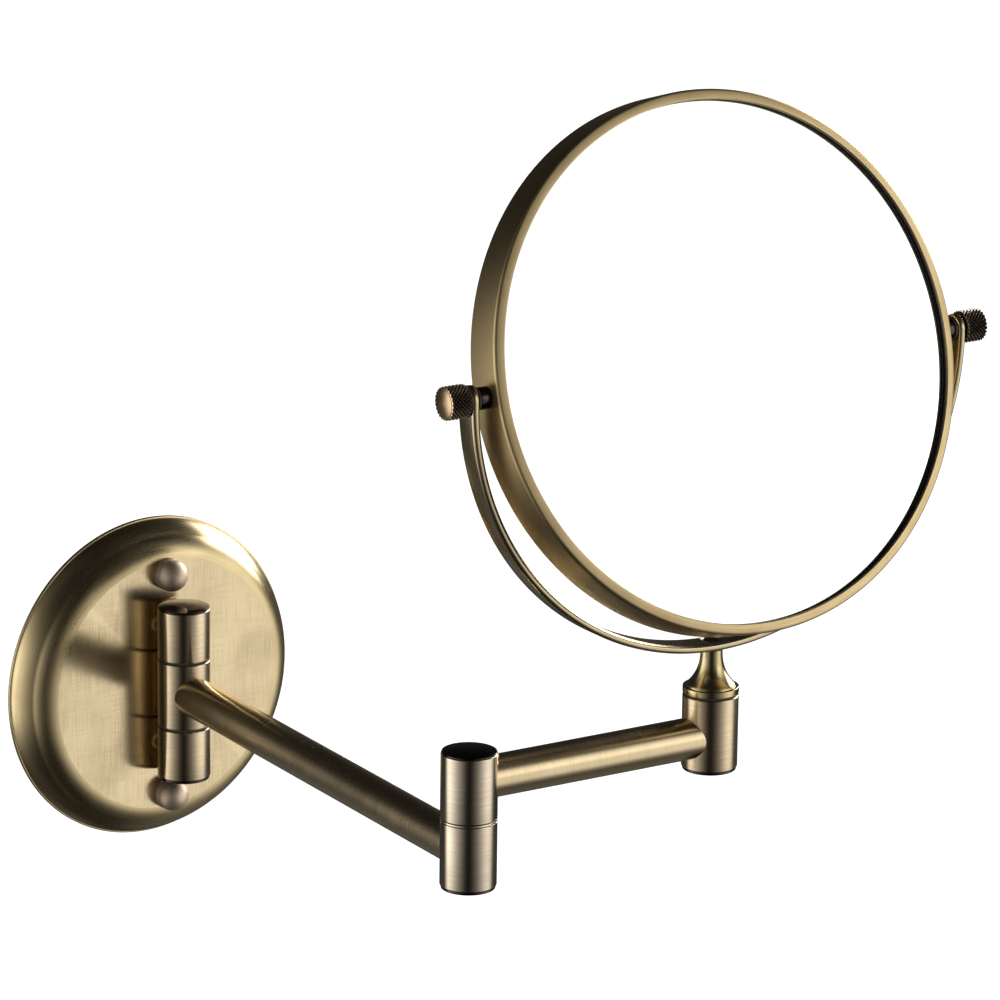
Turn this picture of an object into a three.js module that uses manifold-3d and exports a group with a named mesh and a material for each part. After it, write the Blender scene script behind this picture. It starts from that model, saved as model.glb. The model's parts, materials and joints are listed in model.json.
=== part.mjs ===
// Extendable shaving mirror on a wall plate: two hinged arms, a swivelling yoke and a tilting mirror.
// Millimetres, +Z up. The wall is the plane y = 0 and the mirror reaches out towards -Y.

import * as THREE from 'three';
import { mergeVertices } from 'three/addons/utils/BufferGeometryUtils.js';
import Module from 'manifold-3d';

const wasm = await Module();
wasm.setup();

// ---------- driving dimensions ----------

// clearances
const SEAT_GAP = 0.3;          // between two pieces that seat on each other or are cut to each other
const RUNNING_GAP = 0.25;      // between a turning shaft and its bore, on the radius
const WASHER_GAP = 0.1;        // above and below a friction washer
const EDGE = 0.6;              // chamfer on the ends of the barrels
const FINE_EDGE = 0.4;         // chamfer on plugs, collars and knobs
const OVERRUN = 1;             // how far a cutter runs past the face that it opens

// wall plate
const PLATE_DIAMETER = 132;
const PLATE_HEIGHT = 15;
const PLATE_FACE_DIAMETER = 103.2;
const PLATE_WALL = 1.4;
const SLOPE_WALL = 1;          // the pressed sides' wall, measured level
const LIP_HEIGHT = 1.5;
const LIP_STEP = 0.7;
const LIP_CHAMFER = 0.6;
const CREASE_DIAMETER = 120.4; // where the plate's two rounded sides meet
const CREASE_HEIGHT = 9.9;
const LOWER_BULGE = 0.72;      // how far each side stands out from a straight cone
const UPPER_BULGE = 1.34;

// mounting strap behind the plate
const STRAP_WIDTH = 22;
const STRAP_LENGTH = 106;
const STRAP_THICKNESS = 2.5;
const WALL_SCREW_HOLE = 5.2;
const WALL_SCREW_SPACING = 60;

// studs and ball nuts
const NUT_SPACING = 92;
const STUD_DIAMETER = 5;
const STUD_CLEARANCE = 0.3;
const NUT_DIAMETER = 13;
const NUT_SKIRT_HEIGHT = 3.4;
const NUT_GROOVE = 0.5;
const NUT_CROWN = 1.6;         // metal beyond the end of the stud's bore
const NUT_DOME_START = 8;      // degrees up from the dome's widest line

// hinges
const KNUCKLE_DIAMETER = 21.4;
const PIN_DIAMETER = 8;
const HINGE_OFFSET = 27;       // wall hinge axis in front of the wall
const MIDDLE_BARREL_HEIGHT = 27;
const WALL_BARREL_HEIGHT = 20.5;
const WASHER_THICKNESS = 0.6;
const STUB_DIAMETER = 11;
const STUB_SCREW_DIAMETER = 4.8;
const STUB_SCREW_HEAD = 8.6;
const STUB_SCREW_HEAD_HEIGHT = 2.2;
const STUB_END_WALL = 1;       // metal between the stub screw's hole and the barrel's bore
const CAP_INSET = 0.5;
const CAP_CROWN = 1.5;
const CAP_RIM = 0.5;
const CAP_SPIGOT = 2.4;
const PLUG_THICKNESS = 1.1;

// elbow and end barrels, measured from the axis of the tube that runs into each one
const ELBOW_LOWER_BELOW = 13;
const ELBOW_LOWER_ABOVE = 12.1;
const ELBOW_UPPER_BELOW = 14.2;
const ELBOW_UPPER_ABOVE = 11;
const END_BELOW = 12;
const END_ABOVE = 16.3;
const ELBOW_RING_THICKNESS = 0.7;

// hidden nuts and spring washers
const RECESS_DIAMETER = 15.4;
const RECESS_DEPTH = 6.6;
const SPRING_WASHER_THICKNESS = 1;
const SPRING_WASHER_DIAMETER = 14;
const HEX_NUT_ACROSS = 12.6;
const HEX_NUT_HEIGHT = 4;

// arms
const INNER_ARM_LENGTH = 222;  // wall hinge axis to elbow axis
const OUTER_ARM_LENGTH = 107.5; // elbow axis to swivel axis
const TUBE_DIAMETER = 16;
const TUBE_WALL = 1.5;
const SPIGOT_LENGTH = 7;

// swivel neck
const COLLAR_HEIGHT = 2.6;
const NECK_TOP_DIAMETER = 8.4;
const NECK_HEIGHT = 14.2;
const NECK_SHOULDER = 1.3;
const NECK_HOLLOW = 2.6;       // how sharply the neck's side curves in: 1 is a straight cone
const NECK_FOOT_RISE = 0.5;

// mirror
const FRAME_DIAMETER = 203;
const FRAME_WIDTH = 18.2;
const FRAME_WALL = 1.6;
const FRAME_LIP = 4.2;
const FRAME_ROUND = 1.5;
const LIP_FALL = 0.2;          // the front lip slopes back by this much towards the glass
const LIP_ROUND = 0.48;
const GLASS_THICKNESS = 3;
const GLASS_SETBACK = 1.2;     // front lip's inner face behind the band's front edge
const SEAL_WIDTH = 2;
const SEAL_THICKNESS = 0.8;
const REAR_DISH = 1.6;         // depth of the magnifying mirror's hollow

// yoke and pivots
const YOKE_CLEARANCE = 5.7;    // between the frame and the inside of the yoke
const YOKE_THICKNESS = 3.2;
const YOKE_WIDTH = 11;
const PIVOT_SCREW_DIAMETER = 4;
const PIVOT_HOLE_CLEARANCE = 0.4;
const BOSS_DIAMETER = 8.4;
const BOSS_ROOT = 2;           // the boss starts this far inside the band before it is cut to it
const PIVOT_WASHER_DIAMETER = 9.4;
const PIVOT_WASHER_THICKNESS = 0.8;
const KNOB_DIAMETER = 13;
const KNOB_LENGTH = 9.3;
const KNOB_CHAMFER = 1.1;
const KNOB_CROWN = 0.7;
const KNOB_SHOULDER_CROWN = 0.56; // the crown's rise halfway to the middle
const KNOB_SOCKET = 5.58;
const YOKE_SCREW_HEAD = 7;
const YOKE_SCREW_CONE = 1.5;   // depth of the countersunk head
const YOKE_SCREW_SINK = 0.1;   // head below the strap's inner face
const YOKE_SCREW_DIAMETER = 4;
const YOKE_SCREW_DEPTH = 9;

// how the arms, the yoke and the mirror stand, in degrees
const INNER_ARM_HEADING = -95.4; // from +X, turning about +Z
const OUTER_ARM_HEADING = -3.7;
const YOKE_HEADING = -4.2;
const MIRROR_TILT = 17.6;      // the front mirror looks up by this much

// smoothness of the round pieces
const SMALL_SIDES = 16;
const BARREL_SIDES = 24;
const PLATE_SIDES = 44;
const FRAME_SIDES = 60;
const YOKE_STEPS = 40;
const CROWN_STEPS = 3;

// ---------- sizes that follow ----------

const radians = THREE.MathUtils.degToRad;
const knuckleRadius = KNUCKLE_DIAMETER / 2;
const pinRadius = PIN_DIAMETER / 2;
const boreRadius = pinRadius + RUNNING_GAP;
const tubeRadius = TUBE_DIAMETER / 2;
const tubeBore = tubeRadius - TUBE_WALL;
const barrelGap = WASHER_THICKNESS + 2 * WASHER_GAP;
const plateFace = PLATE_HEIGHT;

const wallBarrelStart = MIDDLE_BARREL_HEIGHT / 2 + barrelGap;
const wallBarrelEnd = wallBarrelStart + WALL_BARREL_HEIGHT;
const wallBarrelCentre = (wallBarrelStart + wallBarrelEnd) / 2;

const stubScrewTip = HINGE_OFFSET - boreRadius - 2 * SEAT_GAP - STUB_END_WALL;
const nutBoreEnd = plateFace + SEAT_GAP + NUT_SKIRT_HEIGHT + NUT_DIAMETER / 2 - NUT_CROWN;
const springStack = WASHER_GAP * 2 + SPRING_WASHER_THICKNESS + HEX_NUT_HEIGHT;

const elbowGap = ELBOW_RING_THICKNESS + 2 * WASHER_GAP;
const outerArmHeight = ELBOW_LOWER_ABOVE + elbowGap + ELBOW_UPPER_BELOW;

const frameRadius = FRAME_DIAMETER / 2;
const yokeInner = frameRadius + YOKE_CLEARANCE;
const yokeOuter = yokeInner + YOKE_THICKNESS;
const collarBase = END_ABOVE + barrelGap;
const neckTop = collarBase + COLLAR_HEIGHT + NECK_HEIGHT;
const mirrorHeight = neckTop + SEAT_GAP + yokeOuter;
const screwHeadTop = -yokeInner - YOKE_SCREW_SINK; // from the mirror's centre

// ---------- materials ----------

function metal(color, roughness) {
  return new THREE.MeshStandardMaterial({ color, roughness, metalness: 1 });
}

const brushedBrass = metal(0xb79a62, 0.35);
const polishedBrass = metal(0xa8894f, 0.16);
const darkBronze = metal(0x3a2f22, 0.2);
const steel = metal(0xa7a9ab, 0.35);
const mirrorSilver = metal(0xf4f7fa, 0.03);
const nylon = new THREE.MeshStandardMaterial({ color: 0x2a2826, roughness: 0.6, metalness: 0 });
const foam = new THREE.MeshStandardMaterial({ color: 0x1c1c1d, roughness: 0.9, metalness: 0 });
const board = new THREE.MeshStandardMaterial({ color: 0x8a7558, roughness: 0.9, metalness: 0 });

// ---------- solids ----------

// Turns a closed three.js geometry into a solid that can be joined and cut.
function solid(geometry) {
  const bare = new THREE.BufferGeometry();
  bare.setAttribute('position', geometry.getAttribute('position'));
  if (geometry.index) bare.setIndex(geometry.index);
  const merged = mergeVertices(bare, 1e-4);
  const index = merged.index.array;
  const kept = [];
  for (let i = 0; i < index.length; i += 3) {
    const [a, b, c] = [index[i], index[i + 1], index[i + 2]];
    if (a !== b && b !== c && c !== a) kept.push(a, b, c);
  }
  return new wasm.Manifold(new wasm.Mesh({
    numProp: 3,
    vertProperties: new Float32Array(merged.getAttribute('position').array),
    triVerts: new Uint32Array(kept),
  }));
}

function geometryOf(shape) {
  const mesh = shape.getMesh();
  const geometry = new THREE.BufferGeometry();
  geometry.setAttribute('position', new THREE.BufferAttribute(new Float32Array(mesh.vertProperties), 3));
  geometry.setIndex(new THREE.BufferAttribute(new Uint32Array(mesh.triVerts), 1));
  return geometry;
}

function piece(group, name, shape, material) {
  const mesh = new THREE.Mesh(geometryOf(shape), material.clone());
  mesh.name = name;
  group.add(mesh);
  return mesh;
}

// A body of revolution about Z. The outline is [radius, height] and runs anticlockwise.
function turned(outline, sides = BARREL_SIDES) {
  const points = outline.map(([radius, height]) => new THREE.Vector2(radius, height));
  const first = outline[0];
  const last = outline[outline.length - 1];
  if (first[0] > 0 || last[0] > 0) points.push(points[0].clone());
  return solid(new THREE.LatheGeometry(points, sides).rotateX(Math.PI / 2));
}

// Points on an arc in the outline's plane, angles in degrees.
function arc(centreRadius, centreHeight, radius, from, to, steps) {
  const points = [];
  for (let i = 0; i <= steps; i++) {
    const angle = radians(from + ((to - from) * i) / steps);
    points.push([centreRadius + radius * Math.cos(angle), centreHeight + radius * Math.sin(angle)]);
  }
  return points;
}

function rod(radius, bottom, top, sides = SMALL_SIDES) {
  return turned([[0, bottom], [radius, bottom], [radius, top], [0, top]], sides);
}

function ring(inner, outer, bottom, top, sides = BARREL_SIDES) {
  return turned([[inner, bottom], [outer, bottom], [outer, top], [inner, top]], sides);
}

// Stands a body of revolution so that its own +Z points along -Y, away from the wall.
function outward(shape) {
  return shape.rotate([90, 0, 0]);
}

// Lays a body of revolution so that its own +Z points along +X.
function along(shape) {
  return shape.rotate([0, 90, 0]);
}

function extruded(outline, depth) {
  return solid(new THREE.ExtrudeGeometry(outline, { depth, bevelEnabled: false, curveSegments: 8 }));
}

function roundHole(x, y, radius) {
  const hole = new THREE.Path();
  hole.absarc(x, y, radius, 0, Math.PI * 2, true);
  return hole;
}

// ---------- shared hinge pieces ----------

// A barrel with chamfered ends. The bore, and the recess for a nut at one end, are cut through
// both the barrel and what branches off it.
function barrel(bottom, top, branch, recess = null) {
  const blank = turned([
    [0, bottom],
    [knuckleRadius - EDGE, bottom],
    [knuckleRadius, bottom + EDGE],
    [knuckleRadius, top - EDGE],
    [knuckleRadius - EDGE, top],
    [0, top],
  ]);
  const bore = rod(boreRadius, bottom - OVERRUN, top + OVERRUN, BARREL_SIDES);
  const bored = blank.add(branch).subtract(bore);
  if (!recess) return bored;
  const cut = recess === 'top'
    ? rod(RECESS_DIAMETER / 2, top - RECESS_DEPTH, top + OVERRUN, BARREL_SIDES)
    : rod(RECESS_DIAMETER / 2, bottom - OVERRUN, bottom + RECESS_DEPTH, BARREL_SIDES);
  return bored.subtract(cut);
}

// A domed cap that closes the top of a barrel. Over an open bore it has a spigot down it.
function domedCap(base, spigotRadius = 0) {
  const capRadius = knuckleRadius - CAP_INSET;
  const rise = CAP_CROWN - CAP_RIM;
  const domeRadius = (capRadius ** 2 + rise ** 2) / (2 * rise);
  const spread = THREE.MathUtils.radToDeg(Math.asin(capRadius / domeRadius));
  const dome = arc(0, base + CAP_CROWN - domeRadius, domeRadius, 90 - spread, 90, CROWN_STEPS);
  dome[dome.length - 1][0] = 0;
  const spigot = [
    [0, base - CAP_SPIGOT],
    [spigotRadius, base - CAP_SPIGOT],
    [spigotRadius, base],
  ];
  const underside = spigotRadius ? spigot : [[0, base]];
  return turned([...underside, [capRadius, base], ...dome]);
}

// A flat plug that closes the bottom of a barrel. In an open bore it has a spigot up it.
function bottomPlug(base, spigotRadius = 0) {
  const plugRadius = knuckleRadius - CAP_INSET;
  const spigot = [
    [spigotRadius, base],
    [spigotRadius, base + CAP_SPIGOT],
    [0, base + CAP_SPIGOT],
  ];
  const upperSide = spigotRadius ? spigot : [[0, base]];
  return turned([
    [0, base - PLUG_THICKNESS],
    [plugRadius - FINE_EDGE, base - PLUG_THICKNESS],
    [plugRadius, base - PLUG_THICKNESS + FINE_EDGE],
    [plugRadius, base],
    ...upperSide,
  ]);
}

// A stub that locates the end of a tube. It starts on the barrel's own axis.
function tubeSpigot(direction) {
  const end = knuckleRadius + SEAT_GAP + SPIGOT_LENGTH;
  return along(rod(tubeBore - SEAT_GAP, 0, end, SMALL_SIDES)).rotate([0, 0, direction]);
}

// A tube between two barrels, its ends hollowed to fit round them.
function armTube(length, height) {
  const outer = along(rod(tubeRadius, 0, length, BARREL_SIDES));
  const bore = along(rod(tubeBore, -OVERRUN, length + OVERRUN, BARREL_SIDES));
  const reach = tubeRadius + OVERRUN;
  const saddle = rod(knuckleRadius + SEAT_GAP, -reach, reach, BARREL_SIDES);
  return outer
    .subtract(bore)
    .subtract(saddle)
    .subtract(saddle.translate([length, 0, 0]))
    .translate([0, 0, height]);
}

function hexNut(bottom) {
  const flats = 6;
  const blank = rod(HEX_NUT_ACROSS / Math.sqrt(3), bottom, bottom + HEX_NUT_HEIGHT, flats);
  return blank.subtract(rod(pinRadius + SEAT_GAP, bottom - OVERRUN, bottom + HEX_NUT_HEIGHT + OVERRUN));
}

function springWasher(bottom) {
  const inner = pinRadius + SEAT_GAP;
  return ring(inner, SPRING_WASHER_DIAMETER / 2, bottom, bottom + SPRING_WASHER_THICKNESS);
}

function frictionWasher(bottom) {
  return ring(boreRadius, knuckleRadius - EDGE, bottom, bottom + WASHER_THICKNESS);
}

// ---------- wall plate and its fixings ----------

// Points from one point to another that bulge out from the straight line between them.
function bulged(from, to, bulge, steps) {
  const length = Math.hypot(to[0] - from[0], to[1] - from[1]);
  const outwards = [(to[1] - from[1]) / length, (from[0] - to[0]) / length];
  const points = [];
  for (let i = 0; i <= steps; i++) {
    const share = i / steps;
    const rise = 4 * bulge * share * (1 - share);
    points.push([0, 1].map((k) => from[k] + (to[k] - from[k]) * share + outwards[k] * rise));
  }
  return points;
}

function wallPlate() {
  const outer = PLATE_DIAMETER / 2;
  const face = PLATE_FACE_DIAMETER / 2;
  const lipInner = outer - LIP_STEP;
  const crease = [CREASE_DIAMETER / 2, CREASE_HEIGHT];
  const sideSteps = 5;
  const side = [
    ...bulged([lipInner, LIP_HEIGHT], crease, LOWER_BULGE, sideSteps),
    ...bulged(crease, [face, plateFace], UPPER_BULGE, sideSteps).slice(1),
  ];
  const inside = side.map(([radius, height]) => [radius - SLOPE_WALL, height - PLATE_WALL]);
  return turned([
    [lipInner - SLOPE_WALL, 0],
    [outer, 0],
    [outer, LIP_HEIGHT - LIP_CHAMFER],
    [outer - LIP_CHAMFER, LIP_HEIGHT],
    ...side,
    [0, plateFace],
    [0, plateFace - PLATE_WALL],
    ...inside.reverse(),
  ], PLATE_SIDES);
}

function drilledPlate() {
  let plate = outward(wallPlate());
  const studHole = outward(rod(STUD_DIAMETER / 2 + STUD_CLEARANCE, 0, plateFace + OVERRUN));
  const screwHole = outward(rod(STUB_SCREW_DIAMETER / 2 + STUD_CLEARANCE, 0, plateFace + OVERRUN));
  for (const side of [1, -1]) {
    plate = plate.subtract(studHole.translate([0, 0, (side * NUT_SPACING) / 2]));
    plate = plate.subtract(screwHole.translate([0, 0, side * wallBarrelCentre]));
  }
  return plate;
}

function mountingStrap() {
  const outline = new THREE.Shape();
  const half = STRAP_WIDTH / 2;
  const straight = STRAP_LENGTH / 2 - half;
  outline.absarc(0, straight, half, 0, Math.PI, false);
  outline.absarc(0, -straight, half, Math.PI, Math.PI * 2, false);
  for (const side of [1, -1]) {
    outline.holes.push(roundHole(0, (side * WALL_SCREW_SPACING) / 2, WALL_SCREW_HOLE / 2));
    outline.holes.push(roundHole(0, (side * NUT_SPACING) / 2, STUD_DIAMETER / 2 + SEAT_GAP));
  }
  return extruded(outline, STRAP_THICKNESS).rotate([90, 0, 0]);
}

function plateStud() {
  return outward(rod(STUD_DIAMETER / 2, SEAT_GAP, nutBoreEnd - SEAT_GAP));
}

function ballNut() {
  const base = plateFace + SEAT_GAP;
  const radius = NUT_DIAMETER / 2;
  const bore = STUD_DIAMETER / 2 + SEAT_GAP;
  const skirtTop = base + NUT_SKIRT_HEIGHT - NUT_GROOVE;
  const domeBase = base + NUT_SKIRT_HEIGHT;
  const domeSteps = 8;
  const dome = arc(0, domeBase, radius, NUT_DOME_START, 90, domeSteps);
  dome[dome.length - 1][0] = 0;
  return outward(turned([
    [bore, base],
    [radius, base],
    [radius, skirtTop - NUT_GROOVE],
    [radius - NUT_GROOVE, skirtTop],
    [radius - NUT_GROOVE, domeBase],
    ...dome,
    [0, nutBoreEnd],
    [bore, nutBoreEnd],
  ], SMALL_SIDES));
}

// The fixed barrels of the wall hinge stand on stubs that seat on the face of the plate.
function stubbedBarrel(side) {
  const bottom = side > 0 ? wallBarrelStart : -wallBarrelEnd;
  const top = side > 0 ? wallBarrelEnd : -wallBarrelStart;
  const height = side * wallBarrelCentre;
  const stubEnd = HINGE_OFFSET - plateFace - SEAT_GAP;
  const toWall = (shape) => shape.rotate([-90, 0, 0]).translate([0, 0, height]);
  const stub = toWall(rod(STUB_DIAMETER / 2, 0, stubEnd));
  const screwTip = HINGE_OFFSET - stubScrewTip;
  const hole = toWall(rod(STUB_SCREW_DIAMETER / 2 + SEAT_GAP, screwTip - SEAT_GAP, stubEnd + OVERRUN));
  return barrel(bottom, top, stub).subtract(hole).translate([0, -HINGE_OFFSET, 0]);
}

function stubScrew() {
  const under = plateFace - PLATE_WALL - SEAT_GAP;
  const headRadius = STUB_SCREW_HEAD / 2;
  const shankRadius = STUB_SCREW_DIAMETER / 2;
  return outward(turned([
    [0, under - STUB_SCREW_HEAD_HEIGHT],
    [headRadius - EDGE, under - STUB_SCREW_HEAD_HEIGHT],
    [headRadius, under - STUB_SCREW_HEAD_HEIGHT + EDGE],
    [headRadius, under],
    [shankRadius, under],
    [shankRadius, stubScrewTip],
    [0, stubScrewTip],
  ], SMALL_SIDES));
}

function buildWallGroup() {
  const group = new THREE.Group();
  piece(group, 'wall_plate', drilledPlate(), brushedBrass);
  piece(group, 'mounting_strap', mountingStrap(), steel);
  for (const [place, side] of [['upper', 1], ['lower', -1]]) {
    const nutHeight = [0, 0, (side * NUT_SPACING) / 2];
    piece(group, `plate_stud_${place}`, plateStud().translate(nutHeight), steel);
    piece(group, `ball_nut_${place}`, ballNut().translate(nutHeight), polishedBrass);
    piece(group, `wall_barrel_${place}`, stubbedBarrel(side), brushedBrass);
    piece(group, `stub_screw_${place}`, stubScrew().translate([0, 0, side * wallBarrelCentre]), steel);
  }
  const hinge = new THREE.Group();
  hinge.position.set(0, -HINGE_OFFSET, 0);
  const pinReach = wallBarrelEnd - CAP_SPIGOT - SEAT_GAP;
  piece(hinge, 'wall_hinge_pin', rod(pinRadius, -pinReach, pinReach), steel);
  piece(hinge, 'wall_hinge_cap', domedCap(wallBarrelEnd + WASHER_GAP, pinRadius), darkBronze);
  piece(hinge, 'wall_hinge_plug', bottomPlug(-wallBarrelEnd - WASHER_GAP, pinRadius), polishedBrass);
  const washerBase = MIDDLE_BARREL_HEIGHT / 2 + WASHER_GAP;
  piece(hinge, 'wall_washer_upper', frictionWasher(washerBase), nylon);
  piece(hinge, 'wall_washer_lower', frictionWasher(-washerBase - WASHER_THICKNESS), nylon);
  group.add(hinge);
  return group;
}

// ---------- inner arm: wall hinge to elbow ----------

function buildInnerArm() {
  const group = new THREE.Group();
  const half = MIDDLE_BARREL_HEIGHT / 2;
  piece(group, 'inner_arm_hinge_barrel', barrel(-half, half, tubeSpigot(0)), brushedBrass);
  piece(group, 'inner_arm_tube', armTube(INNER_ARM_LENGTH, 0), brushedBrass);

  const elbow = new THREE.Group();
  elbow.position.set(INNER_ARM_LENGTH, 0, 0);
  const lower = barrel(-ELBOW_LOWER_BELOW, ELBOW_LOWER_ABOVE, tubeSpigot(180));
  piece(elbow, 'elbow_lower_barrel', lower, brushedBrass);
  piece(elbow, 'elbow_plug', bottomPlug(-ELBOW_LOWER_BELOW - WASHER_GAP, pinRadius), polishedBrass);
  const ringBase = ELBOW_LOWER_ABOVE + WASHER_GAP;
  const elbowRing = ring(boreRadius, knuckleRadius, ringBase, ringBase + ELBOW_RING_THICKNESS);
  piece(elbow, 'elbow_ring', elbowRing, polishedBrass);

  const recessFloor = outerArmHeight + ELBOW_UPPER_ABOVE - RECESS_DEPTH;
  const washerBase = recessFloor + WASHER_GAP;
  const nutBase = washerBase + SPRING_WASHER_THICKNESS + WASHER_GAP;
  piece(elbow, 'elbow_spring_washer', springWasher(washerBase), steel);
  piece(elbow, 'elbow_nut', hexNut(nutBase), steel);
  const pinTop = nutBase + HEX_NUT_HEIGHT;
  const pinBottom = -ELBOW_LOWER_BELOW + CAP_SPIGOT + SEAT_GAP;
  piece(elbow, 'elbow_pin', rod(pinRadius, pinBottom, pinTop), steel);
  group.add(elbow);
  return group;
}

// ---------- outer arm: elbow to swivel ----------

function buildOuterArm() {
  const group = new THREE.Group();
  const upper = barrel(-ELBOW_UPPER_BELOW, ELBOW_UPPER_ABOVE, tubeSpigot(0), 'top');
  piece(group, 'elbow_upper_barrel', upper, brushedBrass);
  piece(group, 'elbow_cap', domedCap(ELBOW_UPPER_ABOVE + WASHER_GAP), darkBronze);
  piece(group, 'outer_arm_tube', armTube(OUTER_ARM_LENGTH, 0), brushedBrass);

  const end = new THREE.Group();
  end.position.set(OUTER_ARM_LENGTH, 0, 0);
  const endBarrel = barrel(-END_BELOW, END_ABOVE, tubeSpigot(180), 'bottom');
  piece(end, 'end_barrel', endBarrel, brushedBrass);
  piece(end, 'end_plug', bottomPlug(-END_BELOW - WASHER_GAP), polishedBrass);
  group.add(end);
  return group;
}

// ---------- yoke, on its swivel neck ----------

// Collar and hollow-sided cone on top of a spindle that runs down through the end barrel.
function swivelNeck() {
  const topRadius = NECK_TOP_DIAMETER / 2;
  const collarTop = collarBase + COLLAR_HEIGHT;
  const coneFoot = knuckleRadius - NECK_SHOULDER;
  const spindleBottom = -END_BELOW + RECESS_DEPTH - springStack;
  const cone = [];
  const coneSteps = 8;
  for (let i = 0; i <= coneSteps; i++) {
    const rise = i / coneSteps;
    cone.push([
      topRadius + (coneFoot - topRadius) * (1 - rise) ** NECK_HOLLOW,
      collarTop + NECK_FOOT_RISE + (NECK_HEIGHT - NECK_FOOT_RISE) * rise,
    ]);
  }
  const holeRadius = YOKE_SCREW_DIAMETER / 2 + SEAT_GAP;
  const screwHole = rod(holeRadius, neckTop - YOKE_SCREW_DEPTH, neckTop + OVERRUN);
  return turned([
    [0, spindleBottom],
    [pinRadius, spindleBottom],
    [pinRadius, collarBase],
    [knuckleRadius - FINE_EDGE, collarBase],
    [knuckleRadius, collarBase + FINE_EDGE],
    [knuckleRadius, collarTop - FINE_EDGE],
    [knuckleRadius - FINE_EDGE, collarTop],
    ...cone,
    [0, neckTop],
  ]).subtract(screwHole);
}

// Half a circle of flat strap that runs straight up at each end to a round tip.
function yokeStrap() {
  const tip = YOKE_WIDTH / 2;
  const outline = new THREE.Shape();
  const steps = YOKE_STEPS;
  const place = (radius, i) => {
    const angle = Math.PI + (Math.PI * i) / steps;
    return [radius * Math.cos(angle), radius * Math.sin(angle)];
  };
  outline.moveTo(-yokeOuter, tip);
  for (let i = 0; i <= steps; i++) outline.lineTo(...place(yokeOuter, i));
  outline.lineTo(yokeOuter, tip);
  outline.lineTo(yokeInner, tip);
  for (let i = steps; i >= 0; i--) outline.lineTo(...place(yokeInner, i));
  outline.lineTo(-yokeInner, tip);
  const strap = extruded(outline, YOKE_WIDTH).rotate([90, 0, 0]).translate([0, YOKE_WIDTH / 2, 0]);

  // A round-ended profile seen along X rounds both tips at once and leaves the half circle whole.
  const reach = yokeOuter + OVERRUN;
  const profile = new THREE.Shape();
  profile.absarc(0, 0, tip, 0, Math.PI, false);
  profile.lineTo(-tip, -reach);
  profile.lineTo(tip, -reach);
  const keep = extruded(profile, 2 * reach).rotate([90, 0, 90]).translate([-reach, 0, 0]);
  const holeRadius = PIVOT_SCREW_DIAMETER / 2 + PIVOT_HOLE_CLEARANCE;
  const pivotHole = along(rod(holeRadius, -reach, reach));
  const footRadius = YOKE_SCREW_DIAMETER / 2 + SEAT_GAP;
  const sinkRadius = YOKE_SCREW_HEAD / 2 + SEAT_GAP;
  const footHole = turned([
    [0, -yokeOuter - OVERRUN],
    [footRadius, -yokeOuter - OVERRUN],
    [footRadius, screwHeadTop - YOKE_SCREW_CONE],
    [sinkRadius, screwHeadTop],
    [sinkRadius, -yokeInner + OVERRUN],
    [0, -yokeInner + OVERRUN],
  ], SMALL_SIDES);
  return strap.intersect(keep).subtract(pivotHole).subtract(footHole);
}

// A countersunk screw down through the strap into the neck.
function yokeScrew() {
  const shankRadius = YOKE_SCREW_DIAMETER / 2;
  const tipHeight = neckTop - mirrorHeight - YOKE_SCREW_DEPTH + SEAT_GAP;
  return turned([
    [0, tipHeight],
    [shankRadius, tipHeight],
    [shankRadius, screwHeadTop - YOKE_SCREW_CONE],
    [YOKE_SCREW_HEAD / 2, screwHeadTop],
    [0, screwHeadTop],
  ], SMALL_SIDES);
}

function buildYoke() {
  const group = new THREE.Group();
  piece(group, 'swivel_neck', swivelNeck(), polishedBrass);
  piece(group, 'swivel_washer', frictionWasher(END_ABOVE + WASHER_GAP), nylon);
  const recessFloor = -END_BELOW + RECESS_DEPTH;
  const washerBase = recessFloor - WASHER_GAP - SPRING_WASHER_THICKNESS;
  piece(group, 'swivel_spring_washer', springWasher(washerBase), steel);
  piece(group, 'swivel_nut', hexNut(washerBase - WASHER_GAP - HEX_NUT_HEIGHT), steel);
  const ringGroup = new THREE.Group();
  ringGroup.position.set(0, 0, mirrorHeight);
  piece(ringGroup, 'yoke', yokeStrap(), brushedBrass);
  piece(ringGroup, 'yoke_screw', yokeScrew(), steel);
  group.add(ringGroup);
  return group;
}

// ---------- mirror: its axis of revolution is Z here and is turned to face -Y ----------

const bandInner = frameRadius - FRAME_WALL;
const frontEdge = FRAME_WIDTH / 2;
const lipInner = frameRadius - FRAME_LIP;
const lipBack = frontEdge - GLASS_SETBACK;
const frontSealTop = lipBack - SEAT_GAP;
const frontGlassTop = frontSealTop - SEAL_THICKNESS - SEAT_GAP;
const frontGlassBase = frontGlassTop - GLASS_THICKNESS;
const retainerEdge = -frontEdge;
const rearSealBase = retainerEdge + GLASS_SETBACK + SEAT_GAP;
const rearGlassBase = rearSealBase + SEAL_THICKNESS + SEAT_GAP;
const rearGlassTop = rearGlassBase + GLASS_THICKNESS;
const glassRadius = bandInner - SEAT_GAP;

function mirrorFrame() {
  const roundSteps = 4;
  return turned([
    [bandInner, -frontEdge],
    [frameRadius, -frontEdge],
    ...arc(frameRadius - FRAME_ROUND, frontEdge - FRAME_ROUND, FRAME_ROUND, 0, 90, roundSteps),
    [lipInner + LIP_ROUND, frontEdge - LIP_FALL],
    [lipInner, frontEdge - LIP_ROUND - LIP_FALL],
    [lipInner, lipBack],
    [bandInner, lipBack],
  ], FRAME_SIDES);
}

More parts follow.
